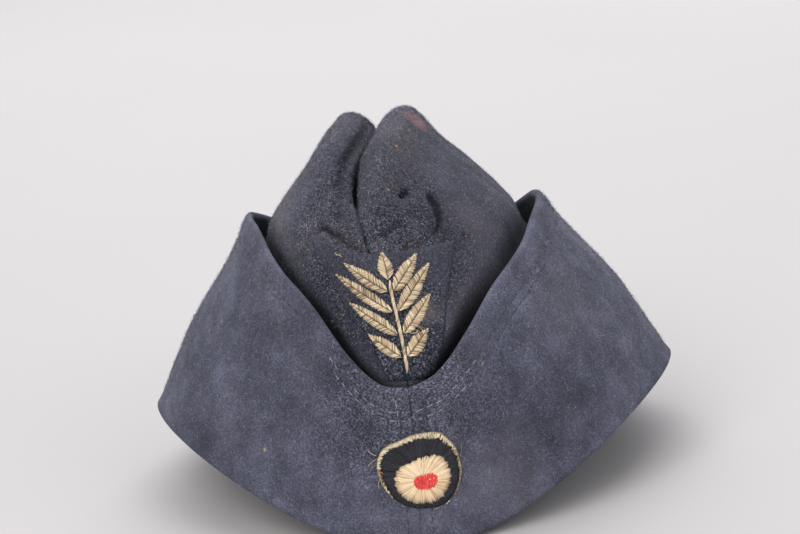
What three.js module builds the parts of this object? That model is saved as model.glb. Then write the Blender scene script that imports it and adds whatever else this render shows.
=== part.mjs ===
// Side cap: a soft wool cap of two halves with a turned-up flap, opened out as it is worn.
// Millimetres. The front looks towards -Y, +X is to the right as seen from the front, +Z is up,
// and the origin is the bottom centre of the cap's box, on the surface that it rests on.
import * as THREE from 'three';

// ---------------------------------------------------------------- driving sizes

const CLOTH = 2;             // one layer of wool
const FLAP_CLOTH = 3;        // the flap's doubled wool
const SEAM_GAP = 0.3;        // between the left and the right halves
const FLAP_GAP = 0.4;        // between crown and flap where the flap is folded under

// The rim's sides rise this much above its ends. It lies flat where the sine of the turn is
// under rest, and the skew makes that stretch longer at the rear than at the front.
const RIM = { rise: 31.5, rest: 0.17, skew: 0.2, curve: 1.62 };
const RIDGE = { front: 109.5, middle: 133, rear: 108, curve: 2.05 };  // height before the cleft
const ROUNDNESS = 1.09;      // above 1 the plan is more pointed than an ellipse
const REAR_LENGTH = 1.03;    // how much longer the rear half is than the front half

// The crown's sections on the way up: share of the way from rim to ridge, share of the
// height reached there, and half the width and the length of the plan.
const CROWN = [
  { at: 0.00, rise: 0.000, width: 91.0, length: 87.6 },
  { at: 0.14, rise: 0.250, width: 75.2, length: 87.9 },
  { at: 0.29, rise: 0.500, width: 53.0, length: 86.0 },
  { at: 0.43, rise: 0.700, width: 37.2, length: 77.4 },
  { at: 0.57, rise: 0.850, width: 22.9, length: 70.4 },
  { at: 0.71, rise: 0.940, width: 15.9, length: 63.1 },
  { at: 0.86, rise: 0.985, width: 10.4, length: 56.5 },
  { at: 1.00, rise: 1.000, width: 0.0, length: 48.0 },
];

// The cleft along the centre seam, placed by the angle over the top: 0 looks out at the
// front, 90 straight up and 180 out at the rear, seen from a point this high in the cap.
const SEAM_CENTRE = 40;
const CLEFT = [
  { at: 38, depth: 0.0, spread: 1.6 },
  { at: 46, depth: 2.4, spread: 1.8 },
  { at: 56, depth: 5.0, spread: 2.2 },
  { at: 66, depth: 7.5, spread: 3.0 },
  { at: 80, depth: 10.0, spread: 4.6 },
  { at: 100, depth: 10.0, spread: 5.0 },
  { at: 120, depth: 9.0, spread: 5.0 },
  { at: 142, depth: 0.0, spread: 4.0 },
];

// How far the soft centre of the cap leans to the right (left where negative) at that angle.
const LEAN_SPREAD = 47.5;
const LEAN = [
  { at: -20, shift: 0.4 },
  { at: -7, shift: 1.2 },
  { at: 8, shift: 1.4 },
  { at: 20, shift: -1.0 },
  { at: 34, shift: -5.5 },
  { at: 44, shift: -8.9 },
  { at: 52, shift: -10.9 },
  { at: 61, shift: -11.9 },
  { at: 70, shift: -10.6 },
  { at: 80, shift: -7.2 },
  { at: 92, shift: -4.2 },
  { at: 110, shift: -3.6 },
  { at: 140, shift: -1.4 },
  { at: 200, shift: 0.0 },
];

// The crown's main folds: how far each stands out (in where negative), half its width, how far
// back it reaches, and its line on a front view.
const FOLDS = {
  hollowBesideHump: {
    height: -3.4,
    width: 2.7,
    back: 12,
    line: [
      { x: -6.5, z: 127 },
      { x: -9.8, z: 127 },
      { x: -13.3, z: 123.3 },
      { x: -15.8, z: 117.7 },
      { x: -17.1, z: 111.4 },
      { x: -17.2, z: 104 },
    ],
  },
  pinchBesideCleft: {
    height: 0.9,
    width: 1.7,
    back: 0,
    line: [
      { x: -8.7, z: 123.8 },
      { x: -11.6, z: 122.2 },
      { x: -13.9, z: 117.9 },
      { x: -14.4, z: 111.2 },
      { x: -13.1, z: 104.5 },
    ],
  },
  hollowOnShoulder: {
    height: -0.9,
    width: 3.2,
    back: 0,
    line: [
      { x: 22, z: 112 },
      { x: 30, z: 104 },
      { x: 36, z: 96 },
    ],
  },
};
const FOLD_FADE = 0.6;       // below 1 a fold keeps its height for longer before its ends

// Upper edge of the flap, by the turn from front to rear in degrees: its height as a share
// of the crown's, and how far it stands off the crown.
const FLAP_EDGE = {
  left: [
    { at: 0, rise: 0.487, off: 1.2 },
    { at: 10, rise: 0.498, off: 2.8 },
    { at: 20, rise: 0.546, off: 3.7 },
    { at: 32, rise: 0.626, off: 5.5 },
    { at: 45, rise: 0.651, off: 6.5 },
    { at: 65, rise: 0.664, off: 6.0 },
    { at: 90, rise: 0.601, off: 5.5 },
    { at: 130, rise: 0.546, off: 4.7 },
    { at: 180, rise: 0.500, off: 2.5 },
  ],
  right: [
    { at: 0, rise: 0.487, off: 1.2 },
    { at: 10, rise: 0.509, off: 4.2 },
    { at: 26, rise: 0.554, off: 7.3 },
    { at: 40, rise: 0.571, off: 7.2 },
    { at: 60, rise: 0.554, off: 6.5 },
    { at: 80, rise: 0.563, off: 5.6 },
    { at: 100, rise: 0.568, off: 5.6 },
    { at: 140, rise: 0.525, off: 3.4 },
    { at: 180, rise: 0.500, off: 2.5 },
  ],
};
const STAND_CURVE = 1.6;     // above 1 the flap hugs the rim and opens towards its edge

// How deep the crown draws in behind the flap, by the turn, between these heights over the
// flap's upper edge: not at all above the first, and all of it below the second.
const TUCK = {
  left: [
    { at: 0, depth: 2.5 },
    { at: 12, depth: 5.0 },
    { at: 30, depth: 7.0 },
    { at: 60, depth: 5.0 },
    { at: 90, depth: 3.0 },
    { at: 180, depth: 1.0 },
  ],
  right: [
    { at: 0, depth: 2.5 },
    { at: 8, depth: 5.0 },
    { at: 16, depth: 9.5 },
    { at: 28, depth: 10.0 },
    { at: 45, depth: 6.5 },
    { at: 90, depth: 3.0 },
    { at: 180, depth: 1.0 },
  ],
};
const TUCK_RANGE = { above: 5, below: -5, rimToFull: 0.3 };
const CLOTH_START = { crown: 0.0105, flapInside: 0.008, flapOutside: 0.012 };  // way up at lower edges
const FOLD = { under: 2.6, thick: 1.5, flat: 1.7, bulge: 2.9, bulgeUp: 0.8 };  // the fold under the rim
const HEM_ROUND = 1.0;       // how far the flap's rolled upper edge bulges up

// The badge patch, by its corners on a front view, and the sprig on it.
const PATCH = {
  low: { left: -6, right: 10, z: 57 },
  leftTop: { x: -19, z: 101 },
  rightTop: { x: 28, z: 94 },
  lift: 0.95,
  thick: 0.8,
};
const STEM = { foot: { x: 0.8, z: 59.5 }, tip: { x: 3.0, z: 87 }, width: 1.4 };
const LEAF = { width: 4.8, spread: 50, tipWidth: 0.35, start: 1.2, fullness: 0.9, widest: 0.85 };
const LEAF_PAIRS = [
  { up: 63.5, reach: 12.5 },
  { up: 70.5, reach: 17.0 },
  { up: 77.5, reach: 19.5 },
  { up: 84.0, reach: 15.0 },
];
const TOP_LEAF = { lean: 4, reach: 9.5 };
const THREAD_THICK = 1.0;

// The roundel on the flap's front.
const ROUNDEL = { x: 1.3, z: 26.5, thick: 0.8, drop: 2.6, shift: 0.7 };
const RINGS = {
  backing: { from: 0, to: 13.4 },
  border: { from: 12.1, to: 13.1 },
  black: { from: 9.0, to: 11.8 },
  cream: { from: 3.9, to: 8.6 },
  red: { from: 0, to: 3.6 },
};
const LAYER_GAP = 0.35;

// How finely the forms are divided.
const TURNS = 30;
const CROWN_STEPS = 18;
const FLAP_STEPS = 7;
const PATCH_STEPS = 14;
const STEM_STEPS = { across: 2, along: 8 };
const LEAF_STEPS = { across: 4, along: 7 };
const DISC_STEPS = 8;
const RING_STEPS = 28;

const COLOURS = {
  wool: 0x4b4b57,
  flapWool: 0x54535f,
  patch: 0x4a4a55,
  beige: 0xaa957a,
  border: 0xc8b996,
  black: 0x2b2a30,
  cream: 0xdfc4a1,
  red: 0xde4742,
};

// ---------------------------------------------------------------- small helpers

const SIDES = { left: -1, right: 1 };
const clamp = THREE.MathUtils.clamp;
const lerp = THREE.MathUtils.lerp;
const smoothstep = THREE.MathUtils.smoothstep;
const radians = THREE.MathUtils.degToRad;

// A smooth curve through a table's rows: one named column, read at a place between rows.
function curve(rows, column, at) {
  const last = rows.length - 1;
  const place = clamp(at, rows[0].at, rows[last].at);
  let row = 0;
  while (row < last - 1 && place > rows[row + 1].at) {
    row += 1;
  }
  const slope = (index) => {
    const before = rows[Math.max(index - 1, 0)];
    const after = rows[Math.min(index + 1, last)];
    return (after[column] - before[column]) / (after.at - before.at);
  };
  const span = rows[row + 1].at - rows[row].at;
  const t = (place - rows[row].at) / span;
  const start = rows[row][column];
  const rise = rows[row + 1][column] - start;
  const leave = slope(row) * span;
  const arrive = slope(row + 1) * span;
  const bend = 3 * rise - 2 * leave - arrive;
  return start + t * leave + t ** 2 * bend + t ** 3 * (leave + arrive - 2 * rise);
}

// The share of the way up at which a crown section reaches a share of the height.
function aroundAtRise(rise) {
  let low = 0;
  let high = 1;
  for (let step = 0; step < 30; step += 1) {
    const middle = (low + high) / 2;
    if (curve(CROWN, 'rise', middle) < rise) {
      low = middle;
    } else {
      high = middle;
    }
  }
  return (low + high) / 2;
}

// ---------------------------------------------------------------- the cap's form

// Height of the rim at a turn from the front (0) to the rear (pi). It lies flat at both ends.
function rimHeight(turn) {
  const reach = Math.sin(turn + RIM.skew * Math.sin(turn));
  const share = clamp((reach - RIM.rest) / (1 - RIM.rest), 0, 1);
  return RIM.rise * share ** RIM.curve;
}

function ridgeHeight(turn) {
  const along = Math.cos(turn);
  const end = along > 0 ? RIDGE.front : RIDGE.rear;
  return RIDGE.middle - (RIDGE.middle - end) * Math.abs(along) ** RIDGE.curve;
}

function heightAt(turn, around) {
  const rim = rimHeight(turn);
  return rim + (ridgeHeight(turn) - rim) * curve(CROWN, 'rise', around);
}

// The plain form, without its cleft and lean.
function form(side, turn, around) {
  const width = Math.max(curve(CROWN, 'width', around), 0);
  const along = Math.cos(turn) * (turn > Math.PI / 2 ? REAR_LENGTH : 1);
  const x = SEAM_GAP / 2 + width * Math.sin(turn) ** ROUNDNESS;
  const y = -curve(CROWN, 'length', around) * along;
  return new THREE.Vector3(side * x, y, heightAt(turn, around));
}

function seamAngle(point) {
  return THREE.MathUtils.radToDeg(Math.atan2(point.z - SEAM_CENTRE, -point.y));
}

// Sinks the cloth beside the centre seam.
function sink(point) {
  const angle = seamAngle(point);
  const spread = curve(CLEFT, 'spread', angle);
  const depth = Math.max(curve(CLEFT, 'depth', angle), 0) * Math.exp(-Math.abs(point.x) / spread);
  const inward = new THREE.Vector3(0, -point.y, SEAM_CENTRE - point.z).normalize();
  return point.addScaledVector(inward, depth);
}

function lean(point) {
  const shift = curve(LEAN, 'shift', seamAngle(point));
  point.x += shift * Math.exp(-((point.x / LEAN_SPREAD) ** 2));
  return point;
}

const cleftForm = (side, turn, around) => sink(form(side, turn, around));

// A surface's outward direction, from four places close by, kept off the form's own edges.
function outward(surface, side, turn, around) {
  const step = 0.01;
  const t = clamp(turn, 4 * step, Math.PI - 4 * step);
  const a = clamp(around, step, 1 - 1.5 * step);
  const acrossTurn = surface(side, t + step, a).sub(surface(side, t - step, a));
  const upCloth = surface(side, t, a + step).sub(surface(side, t, a - step));
  return acrossTurn.cross(upCloth).normalize().multiplyScalar(side);
}

// A point off a surface by some depth, kept on its own side of the centre seam.
function offSurface(surface, side, turn, around, off) {
  const point = surface(side, turn, around).addScaledVector(outward(surface, side, turn, around), off);
  point.x = side * Math.max(side * point.x, SEAM_GAP / 2);
  return lean(point);
}

// How far the crown's folds lift the cloth at a point.
function foldLift(point) {
  const place = new THREE.Vector2(point.x, point.z);
  let lift = 0;
  for (const { height, width, back, line } of Object.values(FOLDS)) {
    let nearest = Infinity;
    let along = 0;
    for (let i = 0; i + 1 < line.length; i += 1) {
      const start = new THREE.Vector2(line[i].x, line[i].z);
      const reach = new THREE.Vector2(line[i + 1].x, line[i + 1].z).sub(start);
      const share = clamp(place.clone().sub(start).dot(reach) / reach.lengthSq(), 0, 1);
      const distance = place.distanceTo(start.addScaledVector(reach, share));
      if (distance < nearest) {
        nearest = distance;
        along = (i + share) / (line.length - 1);
      }
    }
    if (point.y < back) {
      lift += height * Math.sin(Math.PI * along) ** FOLD_FADE * Math.exp(-((nearest / width) ** 2));
    }
  }
  return lift;
}

// A column read from the left or the right table, by the turn from front to rear.
function bySide(tables, side, turn, column) {
  return curve(side < 0 ? tables.left : tables.right, column, THREE.MathUtils.radToDeg(turn));
}

const flapEdge = (side, turn, column) => bySide(FLAP_EDGE, side, turn, column);

// How far the crown's cloth draws in behind the flap.
function tuck(side, turn, around) {
  const rise = curve(CROWN, 'rise', around);
  const above = (rise - flapEdge(side, turn, 'rise')) * (ridgeHeight(turn) - rimHeight(turn));
  const behindFlap = 1 - smoothstep(above, TUCK_RANGE.below, TUCK_RANGE.above);
  return bySide(TUCK, side, turn, 'depth') * behindFlap * smoothstep(rise, 0, TUCK_RANGE.rimToFull);
}

// A point on the crown: its outer face at off 0, its inner face at -CLOTH.
function onCrown(side, turn, around, off) {
  const lift = foldLift(offSurface(cleftForm, side, turn, around, 0)) - tuck(side, turn, around);
  return offSurface(cleftForm, side, turn, around, off + lift);
}

const flapTop = (side, turn) => aroundAtRise(flapEdge(side, turn, 'rise'));

// A point on the flap: its inner face at off 0, its outer face at FLAP_CLOTH.
function onFlap(side, turn, around, off) {
  const share = clamp(around / flapTop(side, turn), 0, 1);
  const stand = flapEdge(side, turn, 'off') * share ** STAND_CURVE;
  return offSurface(form, side, turn, around, FLAP_GAP + stand + off);
}

// The side, turn and way up of the form's point straight behind a place on a front view.
function behind(x, z) {
  const side = x < 0 ? -1 : 1;
  const out = Math.max(Math.abs(x) - SEAM_GAP / 2, 0);
  let low = 0;
  let high = 1;
  let turn = 0;
  for (let step = 0; step < 40; step += 1) {
    const around = (low + high) / 2;
    const width = Math.max(curve(CROWN, 'width', around), 0.001);
    turn = Math.asin(Math.min(out / width, 1) ** (1 / ROUNDNESS));
    if (out < width && heightAt(turn, around) < z) {
      low = around;
    } else {
      high = around;
    }
  }
  return { side, turn, around: (low + high) / 2 };
}

function crownFace(x, z, off) {
  const { side, turn, around } = behind(x, z);
  return onCrown(side, turn, around, off);
}

function flapFace(x, z, off) {
  const { side, turn, around } = behind(x, z);
  return onFlap(side, turn, around, FLAP_CLOTH + off);
}

// ---------------------------------------------------------------- solids

// A closed body from shared points and triangles, turned so that its faces look out.
function body(points, triangles) {
  let volume = 0;
  for (const [a, b, c] of triangles) {
    volume += points[a].dot(points[b].clone().cross(points[c]));
  }
  const facing = volume > 0 ? triangles : triangles.map(([a, b, c]) => [a, c, b]);
  const geometry = new THREE.BufferGeometry();
  const places = points.flatMap((point) => point.toArray());
  geometry.setAttribute('position', new THREE.Float32BufferAttribute(places, 3));
  geometry.setIndex(facing.flat());
  geometry.computeVertexNormals();
  return geometry;
}

// A body swept through cross-sections. Each has an under side and an over side of as many
// points, and a closed sweep runs from its last section back to its first.
function swept(sections, closed = false) {
  const wide = sections[0].under.length;
  const count = 2 * wide;
  const points = sections.flatMap(({ under, over }) => [...under, ...over.toReversed()]);
  const triangles = [];
  const spans = closed ? sections.length : sections.length - 1;
  for (let span = 0; span < spans; span += 1) {
    const here = span * count;
    const next = ((span + 1) % sections.length) * count;
    for (let i = 0; i < count; i += 1) {
      const j = (i + 1) % count;
      triangles.push([here + i, here + j, next + j], [here + i, next + j, next + i]);
    }
  }
  const fill = (start, along) => {
    for (let i = 0; i + 1 < wide; i += 1) {
      const under = start + i;
      const over = start + count - 1 - i;
      const rungs = [[under, over, under + 1], [over, over - 1, under + 1]];
      triangles.push(...(along ? rungs.map(([a, b, c]) => [a, c, b]) : rungs));
    }
  };
  if (!closed) {
    fill(0, false);
    fill((sections.length - 1) * count, true);
  }
  return body(points, triangles);
}

// A thin sheet over a square of places, between two lifts off the cloth below it.
function slab(across, along, place, low, high) {
  const sections = [];
  for (let row = 0; row <= along; row += 1) {
    const line = (lift) => Array.from(
      { length: across + 1 },
      (_, i) => place(i / across, row / along, lift),
    );
    sections.push({ under: line(low), over: line(high) });
  }
  return swept(sections);
}

// ---------------------------------------------------------------- crown

// Steps up the cloth, closer together towards the ridge and its tight curves.
const crownStep = (step) => lerp(CLOTH_START.crown, 1, 1 - (1 - step / CROWN_STEPS) ** 1.5);

function crownHalf(side) {
  const sections = [];
  for (let i = 0; i <= TURNS; i += 1) {
    const turn = (Math.PI * i) / TURNS;
    const line = (off) => Array.from(
      { length: CROWN_STEPS + 1 },
      (_, step) => onCrown(side, turn, crownStep(step), off),
    );
    const under = line(-CLOTH);
    const over = line(0);
    under[0].z = over[0].z;
    sections.push({ under, over });
  }
  return swept(sections);
}

// ---------------------------------------------------------------- flap

// A point of the fold under the rim: how far out from the rim's edge, and how high.
function onFold(side, turn, out, up) {
  const flat = outward(form, side, turn, 0).setZ(0).normalize();
  const point = form(side, turn, 0).addScaledVector(flat, out);
  point.z = rimHeight(turn) + up;
  point.x = side * Math.max(side * point.x, SEAM_GAP / 2);
  return lean(point);
}

function flapHalf(side) {
  const sections = [];
  for (let i = 0; i <= TURNS; i += 1) {
    const turn = (Math.PI * i) / TURNS;
    const top = flapTop(side, turn);
    const line = (start, off) => Array.from(
      { length: FLAP_STEPS + 1 },
      (_, j) => onFlap(side, turn, lerp(start, top, j / FLAP_STEPS), off),
    );
    const hem = (off) => onFlap(side, turn, top, off).add(new THREE.Vector3(0, 0, HEM_ROUND));
    sections.push({
      under: [
        onFold(side, turn, -FOLD.under, 0),
        onFold(side, turn, -FOLD.under, FOLD.thick),
        ...line(CLOTH_START.flapInside, 0),
        hem(FLAP_CLOTH * 0.3),
      ],
      over: [
        onFold(side, turn, FOLD.flat, 0),
        onFold(side, turn, FOLD.bulge, FOLD.bulgeUp),
        ...line(CLOTH_START.flapOutside, FLAP_CLOTH),
        hem(FLAP_CLOTH * 0.7),
      ],
    });
  }
  return swept(sections);
}

// ---------------------------------------------------------------- badge on the crown

const PATCH_TOP = PATCH.lift + PATCH.thick;
const BADGE_LIFT = PATCH_TOP + LAYER_GAP;

function patch() {
  const place = (u, v, lift) => {
    const left = lerp(PATCH.low.left, PATCH.leftTop.x, v);
    const right = lerp(PATCH.low.right, PATCH.rightTop.x, v);
    const leftZ = lerp(PATCH.low.z, PATCH.leftTop.z, v);
    const rightZ = lerp(PATCH.low.z, PATCH.rightTop.z, v);
    return crownFace(lerp(left, right, u), lerp(leftZ, rightZ, u), lift);
  };
  return slab(PATCH_STEPS, PATCH_STEPS, place, PATCH.lift, PATCH_TOP);
}

// A thread-covered shape along a straight line of the front view, with a width that may vary.
function threadShape(from, to, widthAt, steps) {
  const direction = new THREE.Vector2(to.x - from.x, to.z - from.z);
  const aside = new THREE.Vector2(direction.y, -direction.x).normalize();
  const place = (u, v, lift) => {
    const off = (u - 0.5) * widthAt(v);
    const x = from.x + direction.x * v + aside.x * off;
    const z = from.z + direction.y * v + aside.y * off;
    return crownFace(x, z, lift);
  };
  return slab(steps.across, steps.along, place, BADGE_LIFT, BADGE_LIFT + THREAD_THICK);
}

const stemAt = (z) => lerp(STEM.foot.x, STEM.tip.x, (z - STEM.foot.z) / (STEM.tip.z - STEM.foot.z));
const stem = () => threadShape(STEM.foot, STEM.tip, () => STEM.width, STEM_STEPS);

function leaf(z, tilt, reach) {
  const foot = stemAt(z);
  const angle = radians(tilt);
  const point = (far) => ({ x: foot + far * Math.sin(angle), z: z + far * Math.cos(angle) });
  const width = (v) => {
    const swell = Math.sin(Math.PI * v ** LEAF.widest) ** LEAF.fullness;
    return lerp(LEAF.tipWidth, LEAF.width, swell);
  };
  return threadShape(point(LEAF.start), point(reach), width, LEAF_STEPS);
}

// ---------------------------------------------------------------- roundel on the flap

// A place on the roundel, by how far right of and above its centre. The inner rings sit a
// little lower than the outer one.
function onRoundel(x, z, lift) {
  const inner = 1 - smoothstep(Math.hypot(x, z), RINGS.cream.to, RINGS.border.from);
  return flapFace(ROUNDEL.x + x + ROUNDEL.shift * inner, ROUNDEL.z + z - ROUNDEL.drop * inner, lift);
}

function disc(radius, low, high) {
  const place = (u, v, lift) => {
    const x = 2 * u - 1;
    const z = 2 * v - 1;
    const round = { x: x * Math.sqrt(1 - z * z / 2), z: z * Math.sqrt(1 - x * x / 2) };
    return onRoundel(radius * round.x, radius * round.z, lift);
  };
  return slab(DISC_STEPS, DISC_STEPS, place, low, high);
}

function ring({ from, to }, low, high) {
  const sections = [];
  for (let i = 0; i < RING_STEPS; i += 1) {
    const angle = (2 * Math.PI * i) / RING_STEPS;
    const line = (lift) => [from, (from + to) / 2, to].map(
      (radius) => onRoundel(radius * Math.cos(angle), radius * Math.sin(angle), lift),
    );
    sections.push({ under: line(low), over: line(high) });
  }
  return swept(sections, true);
}

// ---------------------------------------------------------------- the cap

const cap = new THREE.Group();

function add(name, geometry, color, roughness) {
  const material = new THREE.MeshStandardMaterial({ color, roughness, metalness: 0 });
  const mesh = new THREE.Mesh(geometry, material);
  mesh.name = name;
  cap.add(mesh);
}

for (const [name, side] of Object.entries(SIDES)) {
  add(`crown_${name}`, crownHalf(side), COLOURS.wool, 0.95);
  add(`flap_${name}`, flapHalf(side), COLOURS.flapWool, 0.95);
}

add('emblem_patch', patch(), COLOURS.patch, 0.95);
add('sprig_stem', stem(), COLOURS.beige, 0.6);
const leaves = LEAF_PAIRS.flatMap(({ up, reach }) => [
  leaf(up, -LEAF.spread, reach),
  leaf(up, LEAF.spread, reach),
]);
leaves.push(leaf(STEM.tip.z, TOP_LEAF.lean, TOP_LEAF.reach));
leaves.forEach((geometry, index) => add(`sprig_leaf_${index + 1}`, geometry, COLOURS.beige, 0.6));

const ROUNDEL_LIFT = LAYER_GAP;
const RING_LIFT = ROUNDEL_LIFT + ROUNDEL.thick + LAYER_GAP;
const RING_TOP = RING_LIFT + ROUNDEL.thick;
const BACKING_TOP = ROUNDEL_LIFT + ROUNDEL.thick;
add('roundel_backing', disc(RINGS.backing.to, ROUNDEL_LIFT, BACKING_TOP), COLOURS.black, 0.9);
add('roundel_border', ring(RINGS.border, RING_LIFT, RING_TOP), COLOURS.border, 0.6);
add('roundel_black', ring(RINGS.black, RING_LIFT, RING_TOP), COLOURS.black, 0.7);
add('roundel_cream', ring(RINGS.cream, RING_LIFT, RING_TOP), COLOURS.cream, 0.6);
add('roundel_red', disc(RINGS.red.to, RING_LIFT, RING_TOP), COLOURS.red, 0.6);

export default cap;
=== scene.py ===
"""Side cap: the wool, seams, embroidery and light. Shapes are worked out in millimetres, in the
frame of the solids, and turned into metres where each mesh is made."""
import math

import bpy
import numpy as np
from mathutils import Matrix, Vector


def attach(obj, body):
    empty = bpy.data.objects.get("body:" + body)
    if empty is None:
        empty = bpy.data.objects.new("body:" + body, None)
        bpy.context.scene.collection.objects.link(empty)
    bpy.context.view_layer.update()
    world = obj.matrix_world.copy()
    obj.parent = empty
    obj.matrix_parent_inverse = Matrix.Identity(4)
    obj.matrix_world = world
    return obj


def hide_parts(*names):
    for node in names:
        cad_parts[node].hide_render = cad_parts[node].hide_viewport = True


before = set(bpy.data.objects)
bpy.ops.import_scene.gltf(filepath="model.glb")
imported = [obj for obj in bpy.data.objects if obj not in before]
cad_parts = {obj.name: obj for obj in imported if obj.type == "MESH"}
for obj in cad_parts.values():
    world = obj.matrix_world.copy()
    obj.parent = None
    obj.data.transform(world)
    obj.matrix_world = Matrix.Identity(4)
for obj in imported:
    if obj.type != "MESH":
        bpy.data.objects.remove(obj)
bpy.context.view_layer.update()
MM = 0.001
RNG = np.random.default_rng(11)


# ---------------- the solids' own form

SEAM_GAP = 0.3
CROWN_CLOTH = 2.0
FLAP_CLOTH = 3.0
FLAP_GAP = 0.4
ROUNDNESS = 1.09
REAR_LENGTH = 1.03
STAND_CURVE = 1.6
SEAM_SHUT = 0.14             # how far the flap's halves close the seam again
RIM = {"rise": 31.5, "rest": 0.17, "skew": 0.2, "curve": 1.62}
RIDGE = {"front": 109.5, "middle": 133, "rear": 108, "curve": 2.05}
SEAM_CENTRE = 40
LEAN_SPREAD = 47.5


def table(columns, rows):
    """A short table with named columns."""
    return dict(zip(columns.split(), np.array(rows, float).T))


CROWN = table("at rise width length", [
    (0, 0, 91, 87.6), (0.14, 0.25, 75.2, 87.9), (0.29, 0.5, 53, 86), (0.43, 0.7, 37.2, 77.4),
    (0.57, 0.85, 22.9, 70.4), (0.71, 0.94, 15.9, 63.1), (0.86, 0.985, 10.4, 56.5), (1, 1, 0, 48),
])
CLEFT = table("at depth spread", [
    (38, 0, 1.6), (46, 2.4, 1.8), (56, 5, 2.2), (66, 7.5, 3),
    (80, 10, 4.6), (100, 10, 5), (120, 9, 5), (142, 0, 4),
])
LEAN = table("at shift", [
    (-20, 0.4), (-7, 1.2), (8, 1.4), (20, -1), (34, -5.5), (44, -8.9), (52, -10.9),
    (61, -11.9), (70, -10.6), (80, -7.2), (92, -4.2), (110, -3.6), (140, -1.4), (200, 0),
])
FLAP_EDGE = {
    -1: table("at rise off", [
        (0, 0.487, 1.2), (10, 0.498, 2.8), (20, 0.546, 3.7), (32, 0.626, 5.5), (45, 0.651, 6.5),
        (65, 0.664, 6), (90, 0.601, 5.5), (130, 0.546, 4.7), (180, 0.500, 2.5),
    ]),
    1: table("at rise off", [
        (0, 0.487, 1.2), (10, 0.509, 4.2), (26, 0.554, 7.3), (40, 0.571, 7.2), (60, 0.554, 6.5),
        (80, 0.563, 5.6), (100, 0.568, 5.6), (140, 0.525, 3.4), (180, 0.500, 2.5),
    ]),
}
# How deep the crown draws in behind the flap's upper edge, and how far above and below that edge.
TUCK = {
    -1: table("at depth", [(0, 2.5), (12, 5), (30, 7), (60, 5), (90, 3), (180, 1)]),
    1: table("at depth", [(0, 2.5), (8, 5), (16, 9.5), (28, 10), (45, 6.5), (90, 3), (180, 1)]),
}
TUCK_REACH = 5


def curve(rows, column, at):
    """A smooth curve through a table's rows: one named column, read at any place."""
    x, y = rows["at"], rows[column]
    wide_x, wide_y = np.pad(x, 1, "edge"), np.pad(y, 1, "edge")
    slope = (wide_y[2:] - wide_y[:-2]) / (wide_x[2:] - wide_x[:-2])
    place = np.clip(at, x[0], x[-1])
    row = np.clip(np.searchsorted(x, place, side="right") - 1, 0, len(x) - 2)
    span = x[row + 1] - x[row]
    t = (place - x[row]) / span
    rise = y[row + 1] - y[row]
    leave, arrive = slope[row] * span, slope[row + 1] * span
    bend = t * t * (3 * rise - 2 * leave - arrive) + t**3 * (leave + arrive - 2 * rise)
    return y[row] + t * leave + bend


def smoothstep(low, high, x):
    t = np.clip((x - low) / (high - low), 0, 1)
    return t * t * (3 - 2 * t)


AROUND = np.linspace(0, 1, 801)
RISE = curve(CROWN, "rise", AROUND)


def rim_height(turn):
    reach = np.sin(turn + RIM["skew"] * np.sin(turn))
    share = np.clip((reach - RIM["rest"]) / (1 - RIM["rest"]), 0, 1)
    return RIM["rise"] * share ** RIM["curve"]


def ridge_height(turn):
    along = np.cos(turn)
    end = np.where(along > 0, RIDGE["front"], RIDGE["rear"])
    return RIDGE["middle"] - (RIDGE["middle"] - end) * np.abs(along) ** RIDGE["curve"]


def height_at(turn, around):
    rim = rim_height(turn)
    return rim + (ridge_height(turn) - rim) * curve(CROWN, "rise", around)


def form(side, turn, around):
    """The plain form, without its cleft and lean."""
    width = np.maximum(curve(CROWN, "width", around), 0)
    x = SEAM_GAP / 2 + width * np.sin(turn) ** ROUNDNESS
    y = -curve(CROWN, "length", around) * np.cos(turn) * np.where(turn > math.pi / 2, REAR_LENGTH, 1)
    return np.stack(np.broadcast_arrays(side * x, y, height_at(turn, around)), -1)


def seam_angle(p):
    return np.degrees(np.arctan2(p[..., 2] - SEAM_CENTRE, -p[..., 1]))


def unit(v):
    return v / np.maximum(np.linalg.norm(v, axis=-1, keepdims=True), 1e-9)


def cleft_form(side, turn, around):
    """The form with the cloth sunk in beside the centre seam."""
    p = form(side, turn, around)
    angle = seam_angle(p)
    depth = np.maximum(curve(CLEFT, "depth", angle), 0)
    depth = depth * np.exp(-np.abs(p[..., 0]) / curve(CLEFT, "spread", angle))
    inward = np.stack([0 * angle, -p[..., 1], SEAM_CENTRE - p[..., 2]], -1)
    return p + unit(inward) * depth[..., None]


def lean(p):
    shift = curve(LEAN, "shift", seam_angle(p))
    moved = p.copy()
    moved[..., 0] += shift * np.exp(-((p[..., 0] / LEAN_SPREAD) ** 2))
    return moved


def outward(surface, side, turn, around):
    """A surface's outward direction, from four places close by, kept off the form's own edges."""
    step = 0.01
    t = np.clip(turn, 4 * step, math.pi - 4 * step)
    a = np.clip(around, step, 1 - 1.5 * step)
    across = surface(side, t + step, a) - surface(side, t - step, a)
    up = surface(side, t, a + step) - surface(side, t, a - step)
    return unit(np.cross(across, up)) * np.asarray(side)[..., None]


# ---------------- folds, dents and seams

def ripple(p, wavelength, seed):
    """Gentle unevenness between about -1 and 1."""
    waves = np.random.default_rng(seed)
    total = 0.0
    for _ in range(7):
        direction = unit(waves.normal(size=3)) * waves.uniform(0.7, 1.4)
        total = total + np.sin(2 * math.pi * (p @ direction) / wavelength + waves.uniform(0, 6.3))
    return total / 3.2


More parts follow.
